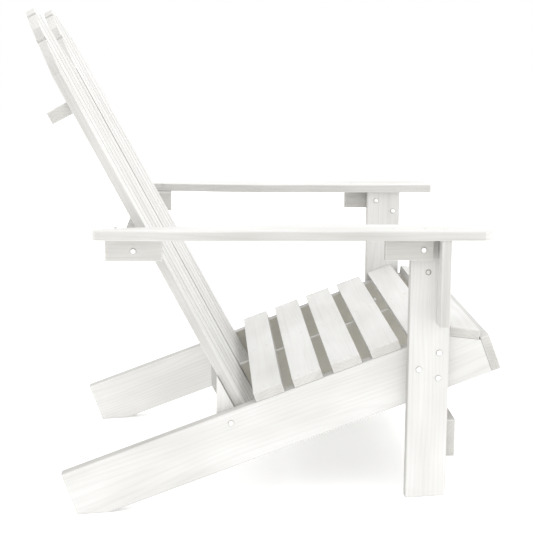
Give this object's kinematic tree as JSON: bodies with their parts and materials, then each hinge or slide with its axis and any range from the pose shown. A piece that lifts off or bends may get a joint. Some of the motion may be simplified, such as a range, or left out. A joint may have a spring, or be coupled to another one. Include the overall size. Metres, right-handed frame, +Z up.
{
  "type": "garden chair",
  "caption": "Adirondack garden chair with a reclined slatted back in two arched halves, a sloping slatted seat and broad flat armrests.",
  "frame": {"origin": "on the floor, under the middle of the bounding box", "axes": "+Z up, the chair faces -Y, +X is the sitter's left; the YZ plane is the chair's plane of symmetry"},
  "size_m": [0.695, 0.7818, 0.8714],
  "materials": {
    "whitewashed_board": "whitewashed, matt, fine lengthwise grain",
    "end_grain_block": "whitewashed, matt, upright grain",
    "fastener": "zinc plated domed head"
  },
  "bodies": {
    "root": {"Side_Rail_Right": "whitewashed_board", "Side_Rail_Left": "whitewashed_board", "Centre_Rail": "whitewashed_board", "Seat_Slat_1": "whitewashed_board", "Seat_Slat_2": "whitewashed_board", "Seat_Slat_3": "whitewashed_board", "Seat_Slat_4": "whitewashed_board", "Seat_Slat_5": "whitewashed_board", "Seat_Knee_Slat": "whitewashed_board", "Seat_Apron": "whitewashed_board", "Front_Leg_Right": "whitewashed_board", "Front_Leg_Left": "whitewashed_board", "Front_Stretcher": "whitewashed_board", "Armrest_Right": "whitewashed_board", "Armrest_Left": "whitewashed_board", "Front_Arm_Cleat_Right": "whitewashed_board", "Front_Arm_Cleat_Left": "whitewashed_board", "Arm_Bracket_Right": "whitewashed_board", "Arm_Bracket_Left": "whitewashed_board", "Rear_Arm_Cleat_Right": "whitewashed_board", "Rear_Arm_Cleat_Left": "whitewashed_board", "Upper_Back_Brace": "whitewashed_board", "Middle_Back_Brace": "whitewashed_board", "Back_Foot_Block_Right": "end_grain_block", "Back_Foot_Block_Left": "end_grain_block", "Lower_Back_Brace": "whitewashed_board", "Back_Slat_1": "whitewashed_board", "Back_Slat_2": "whitewashed_board", "Back_Slat_3": "whitewashed_board", "Back_Slat_4": "whitewashed_board", "Back_Slat_5": "whitewashed_board", "Back_Slat_6": "whitewashed_board", "Back_Slat_7": "whitewashed_board", "Back_Slat_8": "whitewashed_board", "Back_Slat_9": "whitewashed_board", "Back_Slat_10": "whitewashed_board", "Leg_Bolt_1_Right": "fastener", "Leg_Bolt_1_Left": "fastener", "Leg_Bolt_2_Right": "fastener", "Leg_Bolt_2_Left": "fastener", "Leg_Bolt_3_Right": "fastener", "Leg_Bolt_3_Left": "fastener", "Block_Bolt_Right": "fastener", "Block_Bolt_Left": "fastener", "Rear_Cleat_Screw_Right": "fastener", "Rear_Cleat_Screw_Left": "fastener", "Front_Cleat_Screw_Right": "fastener", "Front_Cleat_Screw_Left": "fastener", "Leg_Screw_1_Right": "fastener", "Leg_Screw_1_Left": "fastener", "Leg_Screw_2_Right": "fastener", "Leg_Screw_2_Left": "fastener"}
  },
  "joints": []
}
